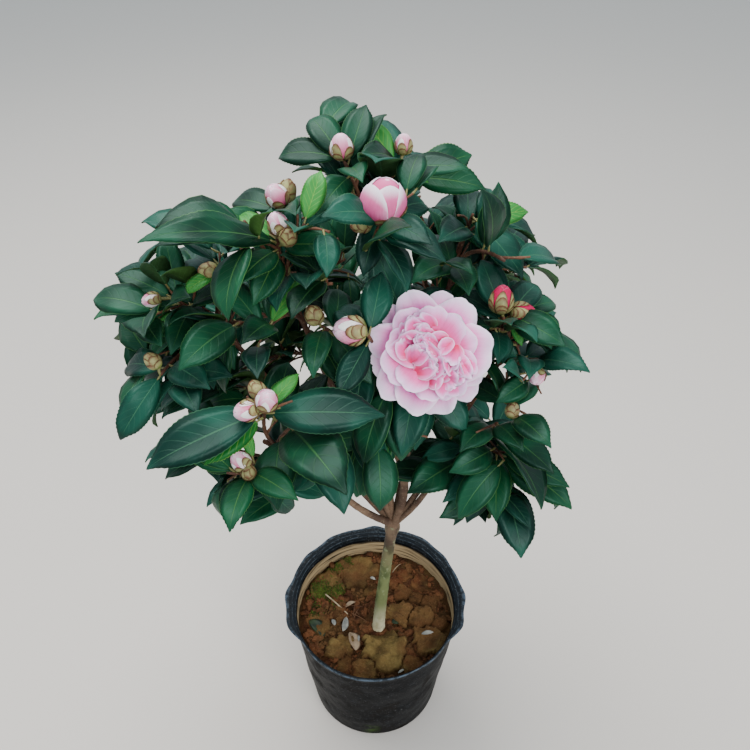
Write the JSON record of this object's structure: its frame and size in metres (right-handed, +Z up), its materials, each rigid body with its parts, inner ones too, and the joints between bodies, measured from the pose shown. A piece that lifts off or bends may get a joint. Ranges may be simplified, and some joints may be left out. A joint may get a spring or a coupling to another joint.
{
  "type": "potted camellia shrub",
  "caption": "Small standard camellia shrub in a round nursery pot: one leaning trunk, a fan of thin boughs, a rounded leafy crown, an open flower and closed buds.",
  "frame": {"origin": "centre of the pot's flat underside", "axes": "+Z up along the pot's axis; -Y towards the side that carries the open flower; +X to the right of a viewer facing that side"},
  "size_m": [0.3805, 0.3695, 0.7401],
  "materials": {
    "pot_plastic": "thin black nursery plastic, dusty and finely scratched, satin",
    "soil": "crumbly red-brown soil with ochre clods and a patch of moss, matt",
    "bark": "thin smooth bark, grey-green low down and reddish brown on the boughs, matt",
    "foliage": "leathery dark green leaves with a glossy upper side, pink flower and buds"
  },
  "bodies": {
    "root": {"pot": "pot_plastic", "soil": "soil", "trunk": "bark", "bough_lower_left": "bark", "bough_left": "bark", "bough_upper_left": "bark", "bough_top": "bark", "bough_middle": "bark", "bough_upper_right": "bark", "bough_right": "bark", "bough_lower_right": "bark", "bough_back_left": "bark", "bough_back_right": "bark", "bough_back_low": "bark", "foliage_lower_left": "foliage", "foliage_left": "foliage", "foliage_upper_left": "foliage", "foliage_top": "foliage", "foliage_middle": "foliage", "foliage_upper_right": "foliage", "foliage_right": "foliage", "foliage_lower_right": "foliage", "foliage_back_left": "foliage", "foliage_back_right": "foliage", "foliage_back_low": "foliage"}
  },
  "joints": []
}
